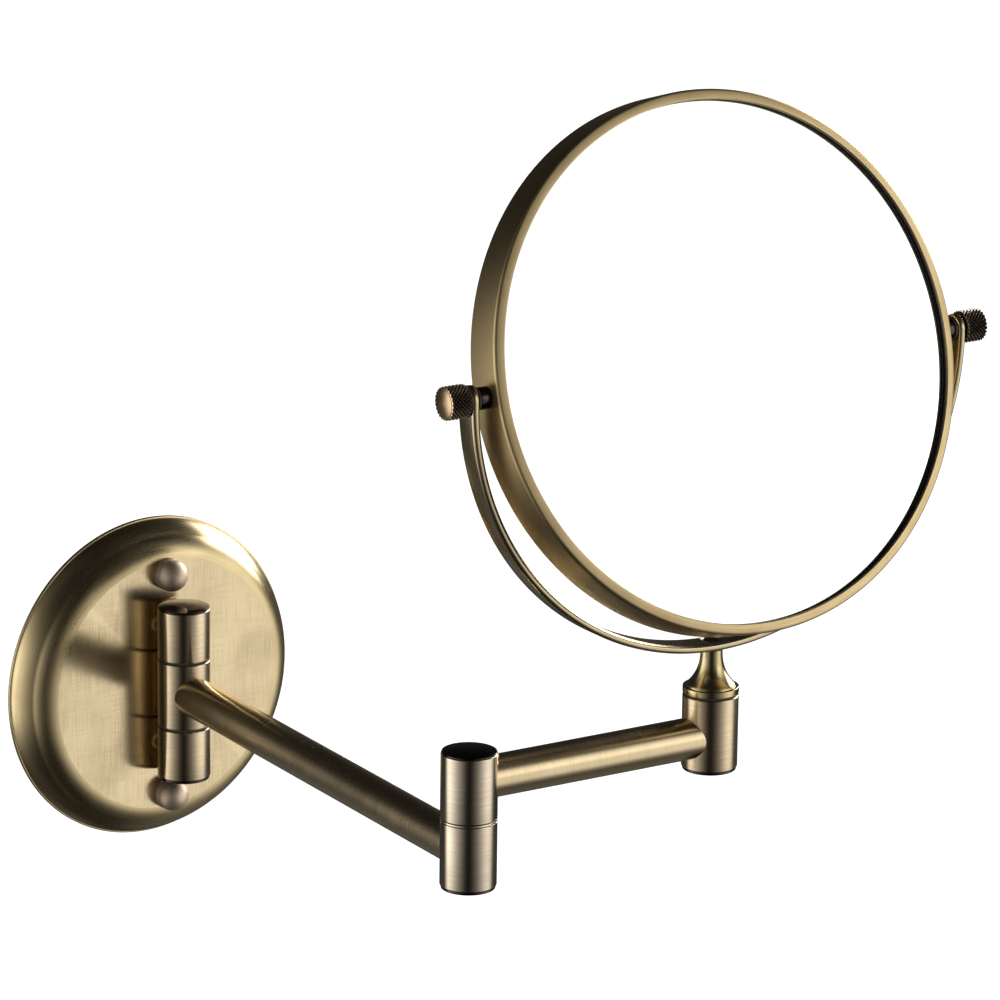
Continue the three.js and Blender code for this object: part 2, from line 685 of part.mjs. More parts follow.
// A pressed ring that snaps in behind the rear mirror.
function rearRetainer() {
  const bevel = GLASS_SETBACK / 2;
  return turned([
    [lipInner + bevel, retainerEdge],
    [bandInner - SEAT_GAP, retainerEdge],
    [bandInner - SEAT_GAP, retainerEdge + GLASS_SETBACK],
    [lipInner, retainerEdge + GLASS_SETBACK],
    [lipInner, retainerEdge + bevel],
  ], FRAME_SIDES);
}

function flatGlass() {
  return rod(glassRadius, frontGlassBase, frontGlassTop, FRAME_SIDES);
}

// The magnifying mirror has a shallow spherical hollow in its rear face.
function dishedGlass() {
  const hollowRadius = lipInner;
  const hollowSteps = 5;
  const sphere = (hollowRadius ** 2 + REAR_DISH ** 2) / (2 * REAR_DISH);
  const spread = THREE.MathUtils.radToDeg(Math.asin(hollowRadius / sphere));
  const hollow = arc(0, rearGlassBase + REAR_DISH - sphere, sphere, 90, 90 - spread, hollowSteps);
  hollow[0][0] = 0;
  return turned([
    ...hollow,
    [glassRadius, rearGlassBase],
    [glassRadius, rearGlassTop],
    [0, rearGlassTop],
  ], FRAME_SIDES);
}

function sealRing(bottom) {
  return ring(glassRadius - SEAL_WIDTH, glassRadius, bottom, bottom + SEAL_THICKNESS, FRAME_SIDES);
}

// The pivots are drawn along +X, and the left one is turned round to point the other way.
function onSide(shape, side) {
  return shape.rotate([0, side > 0 ? 0 : 180, 0]);
}

// A round boss on the side of the frame, cut to the band and bored for the thumb screw.
function pivotBoss(side) {
  const end = yokeInner - PIVOT_WASHER_THICKNESS - 2 * SEAT_GAP;
  const start = frameRadius - BOSS_ROOT;
  const boss = along(rod(BOSS_DIAMETER / 2, start, end));
  const reach = FRAME_WIDTH;
  const band = rod(frameRadius + SEAT_GAP, -reach, reach, FRAME_SIDES).rotate([90, 0, 0]);
  const bore = along(rod(PIVOT_SCREW_DIAMETER / 2 + SEAT_GAP, start - OVERRUN, end + OVERRUN));
  return onSide(boss.subtract(band).subtract(bore), side);
}

function pivotWasher(side) {
  const inner = PIVOT_SCREW_DIAMETER / 2 + SEAT_GAP;
  const start = yokeInner - PIVOT_WASHER_THICKNESS - SEAT_GAP;
  const washer = ring(inner, PIVOT_WASHER_DIAMETER / 2, start, start + PIVOT_WASHER_THICKNESS, SMALL_SIDES);
  return onSide(along(washer), side);
}

// The shank is threaded into the boss; the knob is fixed on its outer end.
function thumbScrew(side) {
  const start = frameRadius + 2 * SEAT_GAP;
  const end = yokeOuter + SEAT_GAP + KNOB_SOCKET;
  return onSide(along(rod(PIVOT_SCREW_DIAMETER / 2, start, end)), side);
}

function thumbKnob(side) {
  const base = yokeOuter + SEAT_GAP;
  const radius = KNOB_DIAMETER / 2;
  const socket = PIVOT_SCREW_DIAMETER / 2 + SEAT_GAP;
  const socketEnd = base + KNOB_SOCKET + SEAT_GAP;
  const top = base + KNOB_LENGTH;
  const knob = turned([
    [socket, base],
    [radius - FINE_EDGE, base],
    [radius, base + FINE_EDGE],
    [radius, top - KNOB_CHAMFER],
    [radius - KNOB_CHAMFER, top],
    [radius / 2, top + KNOB_SHOULDER_CROWN],
    [0, top + KNOB_CROWN],
    [0, socketEnd],
    [socket, socketEnd],
  ], SMALL_SIDES);
  return onSide(along(knob), side);
}

function buildMirror() {
  const group = new THREE.Group();
  const disc = new THREE.Group();
  disc.rotation.x = Math.PI / 2;
  piece(disc, 'mirror_frame', mirrorFrame(), brushedBrass);
  piece(disc, 'rear_retaining_ring', rearRetainer(), polishedBrass);
  piece(disc, 'front_mirror', flatGlass(), mirrorSilver);
  piece(disc, 'rear_magnifying_mirror', dishedGlass(), mirrorSilver);
  piece(disc, 'front_seal', sealRing(frontSealTop - SEAL_THICKNESS), foam);
  piece(disc, 'rear_seal', sealRing(rearSealBase), foam);
  const boardBase = rearGlassTop + SEAT_GAP;
  const boardTop = frontGlassBase - SEAT_GAP;
  piece(disc, 'backing_disc', rod(glassRadius, boardBase, boardTop, FRAME_SIDES), board);
  group.add(disc);
  for (const [place, side] of [['left', -1], ['right', 1]]) {
    piece(group, `pivot_boss_${place}`, pivotBoss(side), polishedBrass);
    piece(group, `pivot_washer_${place}`, pivotWasher(side), nylon);
    piece(group, `thumb_screw_${place}`, thumbScrew(side), steel);
    piece(group, `thumb_knob_${place}`, thumbKnob(side), darkBronze);
  }
  return group;
}

// ---------- assembly ----------

const group = new THREE.Group();
group.add(buildWallGroup());

const innerArm = buildInnerArm();
innerArm.position.set(0, -HINGE_OFFSET, 0);
innerArm.rotation.z = radians(INNER_ARM_HEADING);
group.add(innerArm);

const outerArm = buildOuterArm();
outerArm.position.set(INNER_ARM_LENGTH, 0, outerArmHeight);
outerArm.rotation.z = radians(OUTER_ARM_HEADING - INNER_ARM_HEADING);
innerArm.add(outerArm);

const yoke = buildYoke();
yoke.position.set(OUTER_ARM_LENGTH, 0, 0);
yoke.rotation.z = radians(YOKE_HEADING - OUTER_ARM_HEADING);
outerArm.add(yoke);

const mirror = buildMirror();
mirror.position.set(0, 0, mirrorHeight);
mirror.rotation.x = radians(-MIRROR_TILT);
yoke.add(mirror);

export default group;
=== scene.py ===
import json
import math

import bmesh
import bpy
from mathutils import Matrix, Vector


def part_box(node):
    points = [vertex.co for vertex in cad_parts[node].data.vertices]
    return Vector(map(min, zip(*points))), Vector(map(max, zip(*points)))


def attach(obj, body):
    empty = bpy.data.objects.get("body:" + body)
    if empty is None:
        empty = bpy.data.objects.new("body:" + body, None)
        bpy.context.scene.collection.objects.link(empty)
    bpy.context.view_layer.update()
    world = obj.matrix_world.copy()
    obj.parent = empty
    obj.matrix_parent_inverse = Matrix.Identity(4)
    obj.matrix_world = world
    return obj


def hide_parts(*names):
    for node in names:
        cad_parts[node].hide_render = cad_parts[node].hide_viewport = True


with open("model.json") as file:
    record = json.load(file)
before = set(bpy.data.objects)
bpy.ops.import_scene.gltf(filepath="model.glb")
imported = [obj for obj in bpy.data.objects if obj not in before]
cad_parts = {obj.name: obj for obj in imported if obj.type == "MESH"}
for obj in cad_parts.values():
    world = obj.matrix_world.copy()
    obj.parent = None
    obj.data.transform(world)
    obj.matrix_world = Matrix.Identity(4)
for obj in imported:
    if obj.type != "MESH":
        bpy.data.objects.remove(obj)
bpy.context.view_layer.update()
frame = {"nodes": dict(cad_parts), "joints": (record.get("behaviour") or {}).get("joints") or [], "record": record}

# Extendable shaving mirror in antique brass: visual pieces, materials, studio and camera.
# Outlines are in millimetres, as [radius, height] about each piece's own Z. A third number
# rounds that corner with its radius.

MM = 0.001

# ---------- sizes, in millimetres ----------

SKIN = 0.05               # the fine surfaces stay this far inside the CAD solids
STAND_OFF = 0.02          # between a piece and the face that it stands on
ROUND_STEPS = 5
SIDES = 128
RING_SIDES = 240
SMALL_SIDES = 64

# hinges and arms
KNUCKLE = 10.7 - SKIN     # hinge barrels
BARREL_BORE = 4.3
BARREL_EDGE = 0.5
RECESS = 7.7
RECESS_DEPTH = 6.6
CAP_RADIUS = 10.3
CAP_RIM = 0.5
CAP_CROWN = 1.5
CAP_STEPS = 14
PLUG_RADIUS = CAP_RADIUS - 0.1
PLUG_TOP = 1.15
TUBE = 8.0 - SKIN
TUBE_BORE = 6.5
STUB = 5.5
STUB_BORE = 2.8

# wall plate
PLATE = 65.8
PLATE_HEIGHT = 15.0
PLATE_FACE = 51.6
PLATE_WALL = 1.4
SLOPE_WALL = 1            # the sides' wall, measured level
PLATE_LIP = 0.7
LIP_TOP = 1.35
SIDE_START = 1.45
CREASE = 60.15            # radius of the line where the plate's two rounded sides meet
CREASE_HEIGHT = 9.85
LOWER_BULGE = 0.72
UPPER_BULGE = 1.34
FACE_BLEND = 0.2          # width of the ring where round brushing gives way to straight

# ball nuts
NUT = 6.5 - SKIN
NUT_SPREAD = 46.0         # above and below the plate's centre
NUT_BORE = 2.9
NUT_BORE_DEPTH = 4.8
NUT_SKIRT = 3.2
NUT_GROOVE = 0.55

# swivel neck
NECK_SPINDLE = 4
NECK_LENGTH = 16.8        # from the collar's underside to the top
COLLAR_HEIGHT = 2.6
NECK_SHOULDER = 1.3
NECK_TOP = 4.2
NECK_HOLLOW = 2.6         # how sharply its side curves in: 1 is a straight cone
NECK_FOOT_RISE = 0.5
CONE_RISE = 13.7
CONE_STEPS = 24

# mirror
FRAME = 101.35
FRAME_WIDTH = 18.2
FRAME_LIP = 97.3
FRAME_SOFT = 1.45         # radius of the band's front edge
LIP_RISE = 0.6            # the lip stands forward by this much at the glass
LIP_DEPTH = 1.15
FRAME_BORE = 99.9
REAR_RING_GAP = 0.35
REAR_RING_DEPTH = 1.1
GLASS_THICKNESS = 3
GLASS_SETBACK = 1.2
GLASS_GAP = 0.3
SEAL_THICKNESS = 0.8
REAR_DISH = 1.6           # depth of the magnifying mirror's hollow
DISH_STEPS = 32
MIRROR_TILT = math.radians(17.6)

# yoke
YOKE_INNER = 107.2
YOKE_OUTER = 110.4
YOKE_WIDTH = 11.0
YOKE_BEVEL = 1.35
YOKE_STEPS = 150
TIP_STEPS = 10
TIP_BLUNT = 0.4           # the rounded tips stop this many steps short of a point
YOKE_HOLE = 2.4
FOOT_HOLE = 2.3
SCREW_HEAD = 3.55
SCREW_CONE = 1.5
SCREW_SINK = 0.1          # the foot screw's head below the yoke's inner face

# pivots and knobs
PIVOT_BORE = 2.3
BOSS = 4.2
PIVOT_WASHER = 4.7
PIVOT_WASHER_THICKNESS = 0.8
PIVOT_GAP = 0.3
KNOB = 6.5 - SKIN
KNOB_BASE = 0.35          # from the yoke's outer face
KNOB_TOP = 9.55
KNOB_CHAMFER = 1.1
KNOB_BACK = 0.8           # the back face is smaller than the knurl by this much
KNOB_CROWN = 0.95         # the end face is smaller than the knurl by this much
KNOB_CROWN_DROP = 0.25
KNOB_CROWN_RISE = 0.65
KNOB_CROWN_STEPS = 8
KNOB_SOCKET = 6.2
KNURL_COUNT = 24
KNURL_ROWS = 11
KNURL_DEPTH = 0.6
KNURL_START = 0.35

# ---------- where things are, from the frame ----------

joints = {joint["name"]: joint for joint in frame["joints"]}


def position(joint):
    return Vector(joints[joint]["pos_m"])


def axes(origin, x_axis, z_axis):
    """A placement with its Z along z_axis and its X as near x_axis as it can be."""
    z = Vector(z_axis).normalized()
    y = z.cross(Vector(x_axis)).normalized()
    matrix = Matrix((y.cross(z), y, z)).transposed().to_4x4()
    matrix.translation = origin
    return matrix


def upright(joint):
    """On a vertical hinge's line, with heights counted from the row frame's origin."""
    place = position(joint)
    return Matrix.Translation((place.x, place.y, 0))


def heights(node):
    low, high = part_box(node)
    return low[2] / MM, high[2] / MM


UP = Vector((0, 0, 1))
wall = axes((0, 0, 0), (1, 0, 0), (0, -1, 0))
pivot = Vector(joints["mirror_tilt"]["axis"]).normalized()
mirror_centre = position("mirror_tilt")
front = pivot.cross(UP)
mirror_normal = front * math.cos(MIRROR_TILT) + UP * math.sin(MIRROR_TILT)
disc = axes(mirror_centre, pivot, mirror_normal)

# ---------- meshes ----------


def corner(before, here, after, radius):
    """The points of an arc that rounds one corner of an outline."""
    a = (before - here).normalized()
    b = (after - here).normalized()
    half = a.angle(b) / 2
    centre = here + (a + b).normalized() * radius / math.sin(half)
    start = here + a * radius / math.tan(half) - centre
    end = here + b * radius / math.tan(half) - centre
    turn = start.angle_signed(end)
    points = []
    for step in range(ROUND_STEPS + 1):
        swing = Matrix.Rotation(-turn * step / ROUND_STEPS, 2)
        points.append(centre + swing @ start)
    return points


def rounded(outline):
    points = []
    for i, point in enumerate(outline):
        here = Vector(point[:2])
        if len(point) == 2:
            points.append(here)
            continue
        before = Vector(outline[i - 1][:2])
        after = Vector(outline[(i + 1) % len(outline)][:2])
        points += corner(before, here, after, point[2])
    return points


def finish_mesh(name, bm, place, smooth_angle=32):
    bmesh.ops.remove_doubles(bm, verts=bm.verts, dist=1e-7)
    bmesh.ops.recalc_face_normals(bm, faces=bm.faces)
    mesh = bpy.data.meshes.new(name)
    bm.to_mesh(mesh)
    bm.free()
    mesh.shade_smooth()
    mesh.set_sharp_from_angle(angle=math.radians(smooth_angle))
    piece = bpy.data.objects.new(name, mesh)
    bpy.context.scene.collection.objects.link(piece)
    piece.matrix_world = place
    return piece


def settle(piece, brushing):
    """Moves the placement into the mesh. Each point keeps its own place and the way its brushing runs."""
    place = piece.matrix_world.copy()
    turn = place.to_3x3()
    mesh = piece.data
    own = mesh.attributes.new("own_place", "FLOAT_VECTOR", "POINT")
    grain = mesh.attributes.new("brushed_along", "FLOAT_VECTOR", "POINT")
    for i, vert in enumerate(mesh.vertices):
        x, y, _ = vert.co
        straight = brushing == "straight" or math.hypot(x, y) < 1e-6
        along = Vector((0, 1, 0)) if straight else Vector((-y, x, 0)).normalized()
        own.data[i].vector = vert.co
        grain.data[i].vector = turn @ along
    mesh.transform(place)
    piece.matrix_world = Matrix.Identity(4)


def bridge(bm, lower, upper):
    count = max(len(lower), len(upper))
    for k in range(count):
        after = (k + 1) % count
        corners = []
        for vert in (lower[k % len(lower)], lower[after % len(lower)],
                     upper[after % len(upper)], upper[k % len(upper)]):
            if vert not in corners:
                corners.append(vert)
        if len(corners) > 2:
            bm.faces.new(corners)


def lathe(name, outline, place, sides=SIDES):
    """A body of revolution about Z. The outline closes on itself, or on the axis."""
    points = rounded(outline)
    bm = bmesh.new()
    rings = []
    for radius, height in points:
        if radius < 1e-6:
            rings.append([bm.verts.new((0, 0, height * MM))])
            continue
        ring = []
        for k in range(sides):
            angle = 2 * math.pi * k / sides
            spot = (radius * math.cos(angle) * MM, radius * math.sin(angle) * MM, height * MM)
            ring.append(bm.verts.new(spot))
        rings.append(ring)
    for lower, upper in zip(rings, rings[1:]):
        bridge(bm, lower, upper)
    if len(rings[0]) > 1 or len(rings[-1]) > 1:
        bridge(bm, rings[-1], rings[0])
    return finish_mesh(name, bm, place)


def saddle_tube(name, length, outer, inner, start_saddle, end_saddle, place, sides=96):
    """A tube along Z whose ends are hollowed to fit upright round bodies. A saddle of 0 is a flat end."""
    bm = bmesh.new()

    def end(radius, saddle, far):
        ring = []
        for k in range(sides):
            angle = 2 * math.pi * k / sides
            x = radius * math.cos(angle)
            reach = math.sqrt(saddle ** 2 - x ** 2) if saddle else 0
            height = length - reach if far else reach
            ring.append(bm.verts.new((x * MM, radius * math.sin(angle) * MM, height * MM)))
        return ring

    rings = [
        end(outer, start_saddle, False),
        end(outer, end_saddle, True),
        end(inner, end_saddle, True),
        end(inner, start_saddle, False),
    ]
    for k, ring in enumerate(rings):
        bridge(bm, ring, rings[(k + 1) % len(rings)])
    return finish_mesh(name, bm, place)


def arc_points(centre_radius, centre_height, radius, start, end, steps):
    points = []
    for i in range(steps + 1):
        angle = math.radians(start + (end - start) * i / steps)
        points.append([centre_radius + radius * math.cos(angle), centre_height + radius * math.sin(angle)])
    return points


def cut(piece, cutter):
    """Takes the cutter out of the piece for good."""
    modifier = piece.modifiers.new("cut", "BOOLEAN")
    modifier.operation = "DIFFERENCE"
    modifier.solver = "EXACT"
    modifier.object = cutter
    bpy.context.view_layer.update()
    evaluated = piece.evaluated_get(bpy.context.evaluated_depsgraph_get())
    mesh = bpy.data.meshes.new_from_object(evaluated)
    piece.modifiers.clear()
    piece.data = mesh
    bpy.data.objects.remove(cutter)


# ---------- materials ----------


def node(tree, kind, **values):
    made = tree.nodes.new(kind)
    for key, value in values.items():
        setattr(made, key, value)
    return made


def math_node(tree, operation, a, b=None):
    made = node(tree, "ShaderNodeMath", operation=operation)
    for socket, value in zip(made.inputs, (a, b)):
        if isinstance(value, (int, float)):
            socket.default_value = value
        elif value is not None:
            tree.links.new(value, socket)
    return made.outputs[0]


def noise(tree, vector, scale, detail, fourth=None):
    made = node(tree, "ShaderNodeTexNoise")
    if fourth is not None:
        made.noise_dimensions = "4D"
        tree.links.new(fourth, made.inputs["W"])
    made.inputs["Scale"].default_value = scale
    made.inputs["Detail"].default_value = detail
    tree.links.new(vector, made.inputs["Vector"])
    return made.outputs["Fac"]


def spread(tree, value, low, high, to_low, to_high):
    made = node(tree, "ShaderNodeMapRange")
    for key, number in (("From Min", low), ("From Max", high), ("To Min", to_low), ("To Max", to_high)):
        made.inputs[key].default_value = number
    tree.links.new(value, made.inputs["Value"])
    return made.outputs["Result"]


def blend_colors(tree, factor, a, b):
    made = node(tree, "ShaderNodeMix", data_type="RGBA")
    tree.links.new(factor, made.inputs[0])
    for socket, color in zip(made.inputs[6:8], (a, b)):
        if isinstance(color, tuple):
            socket.default_value = (*color, 1)
        else:
            tree.links.new(color, socket)
    return made.outputs[2]


def surface(name):
    material = bpy.data.materials.new(name)
    material.use_nodes = True
    tree = material.node_tree
    return material, tree, tree.nodes["Principled BSDF"]


def add_bump(tree, shader, height, depth, strength):
    bump = node(tree, "ShaderNodeBump")
    bump.inputs["Strength"].default_value = strength
    bump.inputs["Distance"].default_value = depth
    tree.links.new(height, bump.inputs["Height"])
    tree.links.new(bump.outputs["Normal"], shader.inputs["Normal"])


FINE = 2900               # brushing lines to the metre
SLOW = 60                 # change along a brushing line, to the metre
MOTTLE = 700              # grain of a polished surface
PATINA = 48               # clouds of the patina, to the metre
RUBBED = 1.25             # worn edges are brighter by this much
COAT = 0.12               # lacquer
COAT_ROUGHNESS = 0.1
BUMP_STRENGTH = 0.5
brushings = {}


def attribute(tree, name):
    return node(tree, "ShaderNodeAttribute", attribute_name=name).outputs["Vector"]


def combined(tree, *parts):
    """A vector from three (value, scale) pairs."""
    made = node(tree, "ShaderNodeCombineXYZ")
    for socket, (value, scale) in zip(made.inputs, parts):
        tree.links.new(math_node(tree, "MULTIPLY", value, scale), socket)
    return made.outputs[0]


def brushed_lines(tree, own, brushing):
    """Fine lines that run round the piece or straight up it, a mask that is 1 in a knurl's grooves and 0 on its
    tips for painted shade and painted glints, or plain mottling.
    """
    split = node(tree, "ShaderNodeSeparateXYZ")
    tree.links.new(own, split.inputs[0])
    x, y, z = split.outputs
    if brushing == "straight":
        lines = noise(tree, combined(tree, (x, FINE), (y, SLOW), (z, SLOW)), 1.0, 3)
        cross = noise(tree, combined(tree, (x, SLOW), (y, FINE), (z, SLOW)), 1.0, 3)
        faint = spread(tree, cross, 0.3, 0.7, -0.11, 0.11)
        return math_node(tree, "ADD", lines, faint)
    squares = math_node(tree, "ADD", math_node(tree, "MULTIPLY", x, x), math_node(tree, "MULTIPLY", y, y))
    radius = math_node(tree, "SQRT", squares)
    if brushing == "knurled":
        # painted shade and glint: the colour runs from the dark aged colour in the grooves to the bright colour on
        # the tips
        groove = (KNOB - KNURL_DEPTH) * MM
        tip = (KNOB - KNURL_DEPTH * 0.1) * MM
        return spread(tree, radius, groove, tip, 1.0, 0.0)
    if brushing == "round":
        across = math_node(tree, "MULTIPLY", radius, FINE)
        return noise(tree, combined(tree, (x, SLOW), (y, SLOW), (z, FINE)), 1.0, 3, across)
    return noise(tree, own, MOTTLE, 4)


def metal(name, bright, shade, roughness, anisotropy, brushing, grain=0.35, depth=0.000012):
    """Lacquered antique metal: fine brushing, a cloudy patina, and edges rubbed brighter."""
    material, tree, shader = surface(name)
    brushings[name] = brushing
    own = attribute(tree, "own_place")
    fine = brushed_lines(tree, own, brushing)
    broad = noise(tree, own, PATINA, 4)
    patina = spread(tree, broad, 0.40, 0.75, 0.0, 0.30)
    streaks_and_knurl_groove_shade = spread(tree, fine, 0.35, 0.7, 0.0, grain)
    tint = math_node(tree, "ADD", patina, streaks_and_knurl_groove_shade)
    pointed = node(tree, "ShaderNodeNewGeometry").outputs["Pointiness"]
    worn = spread(tree, pointed, 0.53, 0.62, 0.0, 0.3)
    rubbed = tuple(min(1.0, channel * RUBBED) for channel in bright)
    aged_and_knurl_painted_light = blend_colors(tree, tint, bright, shade)
    tree.links.new(blend_colors(tree, worn, aged_and_knurl_painted_light, rubbed), shader.inputs["Base Color"])
    fine_change = spread(tree, fine, 0.3, 0.7, -0.03, 0.04)
    broad_change = spread(tree, broad, 0.3, 0.7, -0.02, 0.03)
    uneven = math_node(tree, "ADD", fine_change, broad_change)
    tree.links.new(math_node(tree, "ADD", uneven, roughness), shader.inputs["Roughness"])
    shader.inputs["Metallic"].default_value = 1
    if anisotropy:
        shader.inputs["Anisotropic"].default_value = anisotropy
        shader.inputs["Anisotropic Rotation"].default_value = 0.25
        turned = node(tree, "ShaderNodeVectorTransform", vector_type="VECTOR")
        turned.convert_from = "OBJECT"
        turned.convert_to = "WORLD"
        tree.links.new(attribute(tree, "brushed_along"), turned.inputs[0])
        tree.links.new(turned.outputs[0], shader.inputs["Tangent"])
    shader.inputs["Coat Weight"].default_value = COAT
    shader.inputs["Coat Roughness"].default_value = COAT_ROUGHNESS
    add_bump(tree, shader, fine, depth, BUMP_STRENGTH)
    return material


def plain(name, light, dark, roughness, scale, metallic=0.0, depth=0.00002):
    """A plain finish with a mottled colour, roughness and surface."""
    material, tree, shader = surface(name)
    coordinates = node(tree, "ShaderNodeTexCoord").outputs["Object"]
    mottle = noise(tree, coordinates, scale, 5)
    tree.links.new(blend_colors(tree, mottle, light, dark), shader.inputs["Base Color"])
    rough = spread(tree, mottle, 0.3, 0.7, roughness - 0.06, roughness + 0.08)
    tree.links.new(rough, shader.inputs["Roughness"])
    shader.inputs["Metallic"].default_value = metallic
    add_bump(tree, shader, mottle, depth, 0.4)
    return material


def silvering():
    """Silvered glass, very slightly uneven as polished glass is."""
    material, tree, shader = surface("mirror_silver")
    coordinates = node(tree, "ShaderNodeTexCoord").outputs["Object"]
    haze = noise(tree, coordinates, 18, 3)
    tint = blend_colors(tree, haze, (0.95, 0.965, 0.975), (0.90, 0.93, 0.955))
    tree.links.new(tint, shader.inputs["Base Color"])
    tree.links.new(spread(tree, haze, 0.3, 0.7, 0.0, 0.012), shader.inputs["Roughness"])
    shader.inputs["Metallic"].default_value = 1
    return material


BRONZE = (0.075, 0.055, 0.048)
BRONZE_SHADE = (0.02, 0.015, 0.013)

# name, bright colour, aged colour, roughness, anisotropy, brushing, grain, depth of the surface. On the knurl the
# bright colour is a painted glint on the tips and the aged colour is painted shade in the grooves.
plate_brass = metal("plate_brass", (0.78, 0.63, 0.385), (0.36, 0.27, 0.14), 0.2, 0.5, "straight", 0.24)
shoulder_brass = metal("shoulder_brass", (0.76, 0.60, 0.33), (0.38, 0.28, 0.13), 0.27, 0.75, "round", 0.16)
barrel_brass = metal("barrel_brass", (0.72, 0.61, 0.46), (0.34, 0.27, 0.18), 0.19, 0.7, "round", 0.2)
hinge_brass = metal("hinge_brass", (0.72, 0.58, 0.38), (0.34, 0.25, 0.14), 0.22, 0.7, "round", 0.2)
arm_brass = metal("arm_brass", (0.72, 0.575, 0.35), (0.34, 0.26, 0.14), 0.22, 0.5, "round", 0.14)
frame_brass = metal("frame_brass", (0.72, 0.55, 0.29), (0.34, 0.24, 0.10), 0.32, 0.8, "round", 0.30)
yoke_brass = metal("yoke_brass", (0.64, 0.52, 0.31), (0.26, 0.20, 0.11), 0.2, 0.4, "round", 0.16)
polished_brass = metal("polished_brass", (0.66, 0.53, 0.31), (0.40, 0.30, 0.16), 0.12, 0, "none", 0.12, 0.000003)
neck_brass = metal("neck_brass", (0.62, 0.50, 0.26), (0.36, 0.28, 0.12), 0.16, 0, "none", 0.12, 0.000003)
# The elbow ring's brass is lightened to cream: a painted highlight along the thin ring.
ring_painted_highlight_brass = metal("ring_painted_highlight_brass", (0.85, 0.77, 0.62), (0.6, 0.5, 0.36), 0.16, 0, "none", 0.1, 0.000002)
# The ball nuts' brass is raised to a pale cream: painted sheen on the domes.
nut_painted_sheen_brass = metal("nut_painted_sheen_brass", (0.98, 0.79, 0.61), (0.72, 0.52, 0.38), 0.58, 0, "none", 0.2, 0.000004)
dark_bronze = metal("dark_bronze", BRONZE, BRONZE_SHADE, 0.11, 0, "none", 0.25, 0.000003)
# The knurl's grooves are painted near-black as shade, partly the knob's own dark finish; its tips are painted
# bright copper as glints.
knurl_painted_glint_and_shade = metal("knurl_painted_glint_and_shade", (0.98, 0.80, 0.66), (0.03, 0.024, 0.02), 0.3, 0, "knurled", 1.0, 0)
knob_brass = metal("knob_brass", (0.80, 0.56, 0.34), (0.45, 0.28, 0.15), 0.24, 0.3, "round", 0.3)
zinc = plain("zinc_steel", (0.62, 0.63, 0.64), (0.40, 0.41, 0.42), 0.32, 260, 1.0)
silver = silvering()
nylon = plain("nylon_washer", (0.05, 0.05, 0.048), (0.02, 0.02, 0.02), 0.5, 900)
foam = plain("seal_foam", (0.035, 0.035, 0.035), (0.012, 0.012, 0.012), 0.9, 1600, 0.0, 0.0001)
board = plain("backing_board", (0.40, 0.30, 0.19), (0.26, 0.19, 0.12), 0.85, 420)

slot_materials = {
    "brushed_brass": barrel_brass,
    "polished_brass": polished_brass,
    "dark_bronze": dark_bronze,
    "knurled_bronze": knurl_painted_glint_and_shade,
    "steel": zinc,
    "mirror_silver": silver,
    "nylon": nylon,
    "seal_foam": foam,
    "backing_board": board,
}

for subpart in frame["record"]["subparts"]:
    cad = frame["nodes"][subpart["node"]]
    cad.data.materials.clear()
    cad.data.materials.append(slot_materials[subpart["material_slot"]])
frame["nodes"]["yoke_screw"].data.materials[0] = dark_bronze  # its head shows in the yoke


def add(piece, body, slot, material, *nodes):
    """Puts a finished piece on its body, in place of its CAD nodes."""
    settle(piece, brushings.get(material.name, "round"))
    piece.data.materials.append(material)
    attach(piece, body)
    if nodes:
        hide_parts(*nodes)


# ---------- wall plate ----------


def bulged(start, end, bulge, steps=16):
    """Points from start to end that stand out from the straight line between them."""
    a = Vector(start)
    b = Vector(end)
    outwards = Vector((b.y - a.y, a.x - b.x)).normalized()
    points = []
    for step in range(steps + 1):
        share = step / steps
        points.append(list(a.lerp(b, share) + outwards * 4 * bulge * share * (1 - share)))
    return points


def wall_plate():
    """Two rounded sides meet at a fine crease and run in to a flat face with straight brushing."""
    lip = PLATE - PLATE_LIP
    top = PLATE_HEIGHT - SKIN
    crease = (CREASE, CREASE_HEIGHT)
    side = bulged((lip, SIDE_START), crease, LOWER_BULGE)
    side += bulged(crease, (PLATE_FACE, top), UPPER_BULGE)[1:]
    inside = [[radius - SLOPE_WALL, height - PLATE_WALL] for radius, height in reversed(side)]
    outline = [
        [lip - SLOPE_WALL, STAND_OFF],
        [PLATE, STAND_OFF, 0.25],
        [PLATE, LIP_TOP, 0.3],
        *side,
        [PLATE_FACE - FACE_BLEND, top],
        [0, top],
        [0, PLATE_HEIGHT - PLATE_WALL],
        *inside,
    ]
    piece = lathe("wall_plate_surface", outline, wall, RING_SIDES)
    add(piece, "wall", "brushed_brass", shoulder_brass, "wall_plate")
    piece.data.materials.append(plate_brass)
    grain = piece.data.attributes["brushed_along"]
    for face in piece.data.polygons:
        in_front = face.center.y < -(PLATE_HEIGHT - PLATE_WALL / 2) * MM
        if in_front and abs(face.normal.y) > 0.9999:
            face.material_index = 1
            for index in face.vertices:
                spot = piece.data.vertices[index].co
                if math.hypot(spot.x, spot.z) < (PLATE_FACE - FACE_BLEND / 2) * MM:
                    grain.data[index].vector = UP


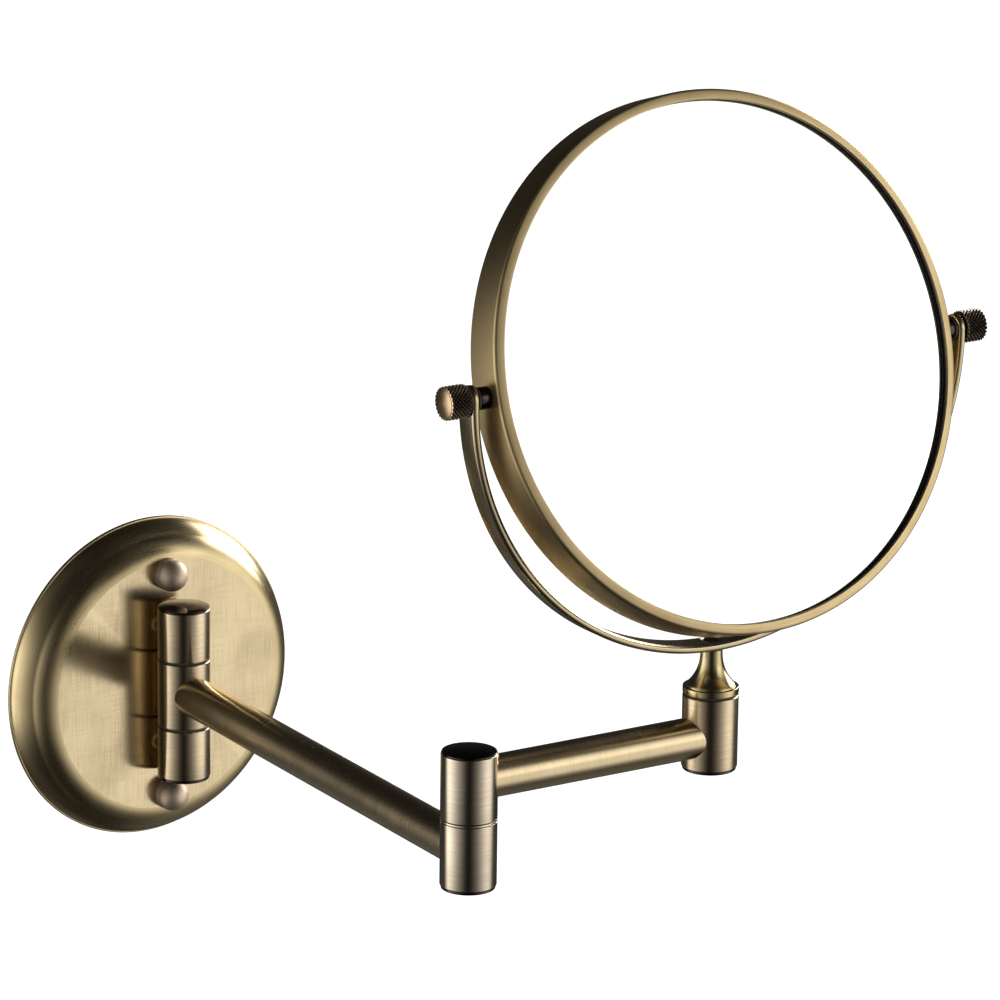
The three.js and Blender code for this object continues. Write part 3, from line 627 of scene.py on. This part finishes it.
def ball_nut(place_name, side):
    base = PLATE_HEIGHT + STAND_OFF
    skirt = base + NUT_SKIRT
    outline = [
        [NUT_BORE, base],
        [NUT, base, 0.25],
        [NUT, skirt - 1.0, 0.25],
        [NUT - NUT_GROOVE, skirt - 0.6, 0.12],
        [NUT - NUT_GROOVE, skirt + 0.1],
        *arc_points(0, skirt + 0.3, NUT, 6, 90, 22),
        [0, skirt + NUT_BORE_DEPTH],
        [NUT_BORE, skirt + NUT_BORE_DEPTH],
    ]
    outline[-3][0] = 0
    place = wall @ Matrix.Translation((0, side * NUT_SPREAD * MM, 0))
    piece = lathe("ball_nut_" + place_name + "_turned", outline, place, SMALL_SIDES)
    add(piece, "wall", "polished_brass", nut_painted_sheen_brass, "ball_nut_" + place_name)


def stub(place_name):
    """The short stub between the plate's face and a fixed hinge barrel."""
    low, high = heights("wall_barrel_" + place_name)
    reach = -position("wall_swivel").y / MM
    centre = Vector((0, 0, (low + high) / 2 * MM))
    place = axes(position("wall_swivel") + centre, (1, 0, 0), (0, 1, 0))
    length = reach - PLATE_HEIGHT - STAND_OFF
    saddle = KNUCKLE - 0.3
    piece = saddle_tube("wall_stub_" + place_name, length, STUB, STUB_BORE, saddle, 0, place, SMALL_SIDES)
    add(piece, "wall", "polished_brass", polished_brass)


# ---------- barrels, caps and tubes ----------


def barrel(node_name, body, place, material, recess_end=None):
    """A hinge barrel. One end may be opened out for a nut."""
    low, high = heights(node_name)
    outline = [
        [BARREL_BORE, low],
        [KNUCKLE, low, BARREL_EDGE],
        [KNUCKLE, high, BARREL_EDGE],
        [BARREL_BORE, high],
    ]
    if recess_end == "top":
        floor = high - RECESS_DEPTH
        outline = outline[:3] + [[RECESS, high], [RECESS, floor], [BARREL_BORE, floor]]
    if recess_end == "bottom":
        floor = low + RECESS_DEPTH
        outline = [[RECESS, low], *outline[1:], [BARREL_BORE, floor], [RECESS, floor]]
    piece = lathe(node_name + "_turned", outline, place)
    add(piece, body, "brushed_brass", material, node_name)


def domed_cap(node_name, body, place):
    low, high = heights(node_name)
    base = high - CAP_CROWN
    crown = CAP_CROWN - CAP_RIM
    dome = (CAP_RADIUS ** 2 + crown ** 2) / (2 * crown)
    outline = [[0, base], [CAP_RADIUS, base], [CAP_RADIUS, base + CAP_RIM, 0.2]]
    for step in range(1, CAP_STEPS + 1):
        radius = CAP_RADIUS * (1 - step / CAP_STEPS)
        outline.append([radius, high - SKIN - dome + math.sqrt(dome ** 2 - radius ** 2)])
    piece = lathe(node_name + "_dome", outline, place)
    add(piece, body, "dark_bronze", dark_bronze, node_name)


def plug(node_name, body, place):
    low, _ = heights(node_name)
    outline = [
        [0, low + SKIN],
        [PLUG_RADIUS, low + SKIN, 0.35],
        [PLUG_RADIUS, low + PLUG_TOP],
        [0, low + PLUG_TOP],
    ]
    piece = lathe(node_name + "_disc", outline, place)
    add(piece, body, "polished_brass", dark_bronze, node_name)


def elbow_ring():
    low, high = heights("elbow_ring")
    radius = KNUCKLE + 0.02
    outline = [[BARREL_BORE, low], [radius, low, 0.15], [radius, high, 0.15], [BARREL_BORE, high]]
    piece = lathe("elbow_ring_turned", outline, upright("elbow_swivel"))
    add(piece, "inner_arm", "polished_brass", ring_painted_highlight_brass, "elbow_ring")


def arm(node_name, body, start, end, height):
    low = position(start)
    high = position(end)
    low.z = high.z = height * MM
    along = high - low
    place = axes(low, along.cross(UP), along)
    saddle = KNUCKLE - 0.02
    piece = saddle_tube(node_name + "_drawn", along.length / MM, TUBE, TUBE_BORE, saddle, saddle, place)
    add(piece, body, "brushed_brass", arm_brass, node_name)


# ---------- swivel neck and yoke ----------


def swivel_neck():
    """A hollow-sided cone on a collar, with a spindle below it."""
    low, top = heights("swivel_neck")
    collar = top - NECK_LENGTH
    collar_top = collar + COLLAR_HEIGHT
    foot = KNUCKLE - NECK_SHOULDER
    outline = [
        [0, low],
        [NECK_SPINDLE, low, 0.4],
        [NECK_SPINDLE, collar],
        [KNUCKLE, collar, 0.3],
        [KNUCKLE, collar_top, 0.35],
        [foot + 0.1, collar_top + STAND_OFF],
    ]
    for step in range(CONE_STEPS + 1):
        rise = step / CONE_STEPS
        radius = NECK_TOP + (foot - NECK_TOP) * (1 - rise) ** NECK_HOLLOW
        outline.append([radius, collar_top + NECK_FOOT_RISE + CONE_RISE * rise])
    outline.append([0, top])
    piece = lathe("swivel_neck_turned", outline, upright("yoke_swivel"))
    add(piece, "yoke", "polished_brass", neck_brass, "swivel_neck")


def strap_section(half_width, half_depth):
    """A rounded rectangle: across the strap's width and its thickness."""
    bevel = min(YOKE_BEVEL, half_width * 0.9, half_depth * 0.9)
    points = []
    for index, (side, face) in enumerate(((1, 1), (-1, 1), (-1, -1), (1, -1))):
        centre = (side * (half_width - bevel), face * (half_depth - bevel))
        for step in range(ROUND_STEPS + 1):
            angle = math.radians(90 * index + 90 * step / ROUND_STEPS)
            points.append((centre[0] + bevel * math.cos(angle), centre[1] + bevel * math.sin(angle)))
    return points


def yoke():
    """Half a circle of strap, straight up at each end to a round tip."""
    tip = YOKE_WIDTH / 2 - SKIN
    middle = (YOKE_INNER + YOKE_OUTER) / 2
    half_depth = (YOKE_OUTER - YOKE_INNER) / 2 - SKIN / 2

    def tip_station(side, step):
        rise = tip * math.sin(math.pi / 2 * step / (TIP_STEPS + TIP_BLUNT))
        return Vector((side * middle, rise, 0)), Vector((side, 0, 0)), math.sqrt(tip ** 2 - rise ** 2)

    stations = [tip_station(-1, step) for step in range(TIP_STEPS, 0, -1)]
    for step in range(YOKE_STEPS + 1):
        angle = math.pi + math.pi * step / YOKE_STEPS
        outward = Vector((math.cos(angle), math.sin(angle), 0))
        stations.append((outward * middle, outward, tip))
    stations += [tip_station(1, step) for step in range(1, TIP_STEPS + 1)]
    bm = bmesh.new()
    rings = []
    for centre, outward, half_width in stations:
        ring = []
        for across, deep in strap_section(half_width, half_depth):
            ring.append(bm.verts.new((centre + outward * deep + Vector((0, 0, across))) * MM))
        rings.append(ring)
    for lower, upper in zip(rings, rings[1:]):
        bridge(bm, lower, upper)
    bm.faces.new(rings[0])
    bm.faces.new(rings[-1])
    piece = finish_mesh("yoke_strap", bm, axes(mirror_centre, pivot, front))
    reach = 6
    head = half_depth - SCREW_SINK
    pivot_hole = [[0, -reach], [YOKE_HOLE, -reach], [YOKE_HOLE, reach], [0, reach]]
    foot_hole = [
        [0, -reach],
        [FOOT_HOLE, -reach],
        [FOOT_HOLE, head - SCREW_CONE],
        [SCREW_HEAD, head],
        [SCREW_HEAD, reach],
        [0, reach],
    ]
    holes = ((pivot_hole, pivot, pivot), (pivot_hole, -pivot, pivot), (foot_hole, -UP, UP))
    for outline, towards, axis in holes:
        hole = lathe("hole", outline, axes(mirror_centre + towards * middle * MM, front, axis), SMALL_SIDES)
        bpy.context.view_layer.update()
        cut(piece, hole)
    add(piece, "yoke", "brushed_brass", yoke_brass, "yoke")


# ---------- mirror ----------


def mirror_frame():
    """A flat band whose soft front edge turns in to a lip that rises a little towards the glass."""
    edge = FRAME_WIDTH / 2 - SKIN
    centre = edge - LIP_RISE - FRAME_SOFT
    outline = [[FRAME_BORE, -edge], [FRAME, -edge, 0.4], [FRAME, centre]]
    outline += arc_points(FRAME - FRAME_SOFT, centre, FRAME_SOFT, 8, 76, 10)
    outline += [
        [FRAME_LIP + 0.1, edge - STAND_OFF, 0.35],
        [FRAME_LIP, edge - LIP_DEPTH],
        [FRAME_BORE, edge - LIP_DEPTH],
    ]
    piece = lathe("mirror_band", outline, disc, RING_SIDES)
    add(piece, "mirror", "brushed_brass", frame_brass, "mirror_frame")


def rear_ring():
    edge = -FRAME_WIDTH / 2 + SKIN
    outer = FRAME_BORE - REAR_RING_GAP
    outline = [
        [FRAME_LIP, edge, 0.4],
        [outer, edge],
        [outer, edge + REAR_RING_DEPTH],
        [FRAME_LIP, edge + REAR_RING_DEPTH],
    ]
    piece = lathe("rear_ring_pressed", outline, disc, RING_SIDES)
    add(piece, "mirror", "polished_brass", polished_brass, "rear_retaining_ring")


def glasses():
    """The flat front mirror, and the rear mirror with its shallow spherical hollow."""
    glass = FRAME_BORE - GLASS_GAP
    top = FRAME_WIDTH / 2 - GLASS_SETBACK - GLASS_GAP - SEAL_THICKNESS - GLASS_GAP
    flat = [[0, top - GLASS_THICKNESS], [glass, top - GLASS_THICKNESS], [glass, top, 0.3], [0, top]]
    piece = lathe("front_glass", flat, disc, RING_SIDES)
    add(piece, "mirror", "mirror_silver", silver, "front_mirror")
    base = -top
    sphere = (FRAME_LIP ** 2 + REAR_DISH ** 2) / (2 * REAR_DISH)
    outline = []
    for step in range(DISH_STEPS + 1):
        radius = FRAME_LIP * step / DISH_STEPS
        outline.append([radius, base + REAR_DISH - sphere + math.sqrt(sphere ** 2 - radius ** 2)])
    outline += [[glass, base], [glass, base + GLASS_THICKNESS], [0, base + GLASS_THICKNESS]]
    piece = lathe("rear_glass", outline, disc, RING_SIDES)
    add(piece, "mirror", "mirror_silver", silver, "rear_magnifying_mirror")


# ---------- pivots and knobs ----------


def pivot_place(side):
    return axes(mirror_centre, UP, pivot * side)


def pivot_trim(place_name, side):
    place = pivot_place(side)
    base = YOKE_INNER - PIVOT_WASHER_THICKNESS - PIVOT_GAP
    boss_start = FRAME - 0.05
    boss_end = base - PIVOT_GAP
    boss = [[PIVOT_BORE, boss_start], [BOSS, boss_start], [BOSS, boss_end, 0.4], [PIVOT_BORE, boss_end]]
    # The boss is polished brass but is given the near-black bronze: painted shade for the shadow between the yoke's
    # strap and the frame.
    piece = lathe("pivot_boss_" + place_name + "_turned", boss, place, SMALL_SIDES)
    add(piece, "mirror", "polished_brass", dark_bronze, "pivot_boss_" + place_name)
    end = base + PIVOT_WASHER_THICKNESS
    washer = [[PIVOT_BORE, base], [PIVOT_WASHER, base, 0.2], [PIVOT_WASHER, end, 0.2], [PIVOT_BORE, end]]
    piece = lathe("pivot_washer_" + place_name + "_ring", washer, place, SMALL_SIDES)
    add(piece, "mirror", "nylon", nylon, "pivot_washer_" + place_name)


def knob(place_name, side):
    """A thumb knob with a diamond knurl: grooves run along both diagonals of an even grid."""
    base = YOKE_OUTER + KNOB_BASE
    knurl_base = base + KNURL_START
    knurl_end = YOKE_OUTER + KNOB_TOP - KNOB_CHAMFER / 2
    crown_base = YOKE_OUTER + KNOB_TOP - KNOB_CROWN_DROP
    columns = KNURL_COUNT * 2
    bm = bmesh.new()

    def circle(radius, height, groove=0, shift=0):
        """A ring of points. Every other one stands in by the groove's depth."""
        ring = []
        for k in range(columns):
            angle = 2 * math.pi * k / columns
            reach = radius if (k + shift) % 2 else radius - groove
            ring.append(bm.verts.new((reach * math.cos(angle) * MM, reach * math.sin(angle) * MM, height * MM)))
        return ring

    grid = []
    for row in range(KNURL_ROWS + 1):
        height = knurl_base + (knurl_end - knurl_base) * row / KNURL_ROWS
        grid.append(circle(KNOB, height, KNURL_DEPTH, row))
    for row in range(KNURL_ROWS):
        for k in range(columns):
            after = (k + 1) % columns
            a, b = grid[row][k], grid[row][after]
            c, d = grid[row + 1][after], grid[row + 1][k]
            if (k + row) % 2:
                bm.faces.new((a, b, d))
                bm.faces.new((b, c, d))
            else:
                bm.faces.new((a, b, c))
                bm.faces.new((a, c, d))
    back = [circle(PIVOT_BORE, base), circle(KNOB - KNOB_BACK, base)]
    bridge(bm, back[0], back[1])
    bridge(bm, back[1], grid[0])
    socket_end = YOKE_OUTER + KNOB_SOCKET
    socket = [circle(PIVOT_BORE, socket_end), [bm.verts.new((0, 0, socket_end * MM))]]
    bridge(bm, socket[0], back[0])
    bridge(bm, socket[1], socket[0])
    sides = len(bm.faces)
    crown_radius = KNOB - KNOB_CROWN
    crown = [circle(KNOB - KNURL_DEPTH - 0.1, knurl_end + 0.1), circle(crown_radius, crown_base)]
    for step in range(1, KNOB_CROWN_STEPS):
        share = 1 - step / KNOB_CROWN_STEPS
        crown.append(circle(crown_radius * share, crown_base + KNOB_CROWN_RISE * (1 - share ** 2)))
    crown.append([bm.verts.new((0, 0, (crown_base + KNOB_CROWN_RISE) * MM))])
    bridge(bm, grid[-1], crown[0])
    for lower, upper in zip(crown, crown[1:]):
        bridge(bm, lower, upper)
    for face in list(bm.faces)[sides:]:
        face.material_index = 1
    piece = finish_mesh("thumb_knob_" + place_name + "_knurled", bm, pivot_place(side), 18)
    add(piece, place_name + "_knob", "knurled_bronze", knurl_painted_glint_and_shade, "thumb_knob_" + place_name)
    piece.data.materials.append(knob_brass)


# ---------- putting it together ----------

wall_plate()
for place_name, side in (("upper", 1), ("lower", -1)):
    ball_nut(place_name, side)
    stub(place_name)
    barrel("wall_barrel_" + place_name, "wall", upright("wall_swivel"), hinge_brass)
domed_cap("wall_hinge_cap", "wall", upright("wall_swivel"))
plug("wall_hinge_plug", "wall", upright("wall_swivel"))

barrel("inner_arm_hinge_barrel", "inner_arm", upright("wall_swivel"), hinge_brass)
barrel("elbow_lower_barrel", "inner_arm", upright("elbow_swivel"), barrel_brass)
plug("elbow_plug", "inner_arm", upright("elbow_swivel"))
elbow_ring()
arm("inner_arm_tube", "inner_arm", "wall_swivel", "elbow_swivel", 0)

barrel("elbow_upper_barrel", "outer_arm", upright("elbow_swivel"), barrel_brass, "top")
domed_cap("elbow_cap", "outer_arm", upright("elbow_swivel"))
barrel("end_barrel", "outer_arm", upright("yoke_swivel"), hinge_brass, "bottom")
plug("end_plug", "outer_arm", upright("yoke_swivel"))
arm("outer_arm_tube", "outer_arm", "elbow_swivel", "yoke_swivel", position("yoke_swivel").z / MM)

swivel_neck()
yoke()
mirror_frame()
rear_ring()
glasses()
for place_name, side in (("left", -1), ("right", 1)):
    pivot_trim(place_name, side)
    knob(place_name, side)

# ---------- studio ----------

FLOOR_HEIGHT = -0.45
FLOOR_GLOW = 0.95
CAMERA_BEARING = -126.66   # degrees from +X to the camera, seen from above
AMBIENT = 0.012

# bearing from the camera's own in degrees, and brightness there
SIDE_LIGHT = (
    (-180, 0.02), (-150, 0.02), (-116, 0.02), (-104, 0.1), (-96, 1.5), (-86, 2.1), (-70, 1.5), (-54, 0.8),
    (-38, 0.38), (-22, 0.13), (-8, 0.0), (8, 0.0), (22, 0.08), (36, 0.24), (50, 0.5), (64, 0.95),
    (76, 1.3), (90, 1.4), (102, 1.0), (112, 0.1), (130, 0.02), (150, 0.02), (180, 0.02))

# height above level in degrees, and the share of the side light there
HEIGHT_SHARE = (
    (-90, 0.02), (-68, 0.02), (-54, 0.03), (-42, 0.08), (-32, 0.4), (-24, 0.95), (2, 1.05), (14, 0.82),
    (26, 0.3), (40, 0.06), (60, 0.02), (90, 0.01))

# soft boxes: bearings, heights, softness of the edges, strength
SOFT_BOXES = (
    ((120, 156), (6, 30), 4, 8.0),
    ((50, 82), (4, 32), 6, 0.75),
    ((-170, -118), (-64, -26), 10, 0.1),
    ((100, 170), (-64, -34), 10, 0.12),
)


def studio_floor():
    bm = bmesh.new()
    bmesh.ops.create_grid(bm, x_segments=2, y_segments=2, size=30)
    floor = finish_mesh("floor", bm, Matrix.Translation((0, 0, FLOOR_HEIGHT)))
    material, tree, shader = surface("pale_floor")
    coordinates = node(tree, "ShaderNodeTexCoord").outputs["Object"]
    mottle = noise(tree, coordinates, 2, 3)
    tree.links.new(blend_colors(tree, mottle, (0.86, 0.86, 0.86), (0.83, 0.83, 0.83)), shader.inputs["Base Color"])
    shader.inputs["Roughness"].default_value = 0.9
    shader.inputs["Emission Color"].default_value = (1, 1, 1, 1)
    shader.inputs["Emission Strength"].default_value = FLOOR_GLOW
    floor.data.materials.append(material)
    floor.visible_glossy = False


def curve(tree, value, low, high, stops):
    """Brightness along a scale, smoothed between stops of (value, brightness)."""
    ramp = node(tree, "ShaderNodeValToRGB")
    ramp.color_ramp.interpolation = "B_SPLINE"
    elements = ramp.color_ramp.elements
    while len(elements) < len(stops):
        elements.new(0.5)
    for element, (spot, brightness) in zip(elements, stops):
        element.position = (spot - low) / (high - low)
        element.color = (brightness / 2, brightness / 2, brightness / 2, 1)
    tree.links.new(spread(tree, value, low, high, 0.0, 1.0), ramp.inputs[0])
    return math_node(tree, "MULTIPLY", ramp.outputs[0], 2.0)


def panel(tree, bearing, height, across, upright, soft, strength):
    """One soft box between two bearings and two heights, in degrees, with soft edges."""
    level = strength
    for value, (low, high) in ((bearing, across), (height, upright)):
        level = math_node(tree, "MULTIPLY", spread(tree, value, low - soft, low + soft, 0.0, 1.0), level)
        level = math_node(tree, "MULTIPLY", spread(tree, value, high - soft, high + soft, 1.0, 0.0), level)
    return level


def studio_light():
    """Soft boxes at both sides of a dark camera position, and a strong one behind at the right."""
    world = bpy.data.worlds.new("studio")
    bpy.context.scene.world = world
    world.use_nodes = True
    tree = world.node_tree
    background = tree.nodes["Background"]
    split = node(tree, "ShaderNodeSeparateXYZ")
    tree.links.new(node(tree, "ShaderNodeTexCoord").outputs["Generated"], split.inputs[0])
    x, y, z = split.outputs
    degrees = 180 / math.pi
    from_x = math_node(tree, "MULTIPLY", math_node(tree, "ARCTAN2", y, x), degrees)
    bearing = math_node(tree, "WRAP", math_node(tree, "SUBTRACT", from_x, CAMERA_BEARING), 180.0)
    bearing.node.inputs[2].default_value = -180.0
    height = math_node(tree, "MULTIPLY", math_node(tree, "ARCSINE", z), degrees)
    sides = curve(tree, bearing, -180, 180, SIDE_LIGHT)
    levels = curve(tree, height, -90, 90, HEIGHT_SHARE)
    total = math_node(tree, "ADD", math_node(tree, "MULTIPLY", sides, levels), AMBIENT)
    for across, upright_range, soft, strength in SOFT_BOXES:
        total = math_node(tree, "ADD", panel(tree, bearing, height, across, upright_range, soft, strength), total)
    seen = node(tree, "ShaderNodeLightPath").outputs["Is Camera Ray"]
    level = node(tree, "ShaderNodeMix", data_type="FLOAT")
    tree.links.new(seen, level.inputs[0])
    tree.links.new(total, level.inputs[2])
    level.inputs[3].default_value = 1.0
    tree.links.new(level.outputs[0], background.inputs["Strength"])
    background.inputs["Color"].default_value = (1, 1, 1, 1)
    bpy.context.scene.view_settings.view_transform = "Standard"


CAMERA_AZIMUTH = math.radians(-36.663)
CAMERA_ELEVATION = math.radians(15.776)
CAMERA_ROLL = math.radians(0.727)
CAMERA_DISTANCE = 2.505992
CAMERA_TARGET = Vector((0.176229, 0, 0.045052))
CAMERA_LENS = 216
SENSOR_WIDTH = 36


def add_camera():
    level = math.cos(CAMERA_ELEVATION)
    back = Vector((math.sin(CAMERA_AZIMUTH) * level, -math.cos(CAMERA_AZIMUTH) * level, math.sin(CAMERA_ELEVATION)))
    right = Vector((math.cos(CAMERA_AZIMUTH), math.sin(CAMERA_AZIMUTH), 0))
    up = back.cross(right)
    rolled_right = right * math.cos(CAMERA_ROLL) + up * math.sin(CAMERA_ROLL)
    rolled_up = up * math.cos(CAMERA_ROLL) - right * math.sin(CAMERA_ROLL)
    data = bpy.data.cameras.new("camera")
    data.sensor_width = SENSOR_WIDTH
    data.lens = CAMERA_LENS
    data.clip_end = 200
    camera = bpy.data.objects.new("camera", data)
    bpy.context.scene.collection.objects.link(camera)
    matrix = Matrix((rolled_right, rolled_up, back)).transposed().to_4x4()
    matrix.translation = CAMERA_TARGET + back * CAMERA_DISTANCE
    camera.matrix_world = matrix
    bpy.context.scene.camera = camera


studio_floor()
studio_light()
add_camera()
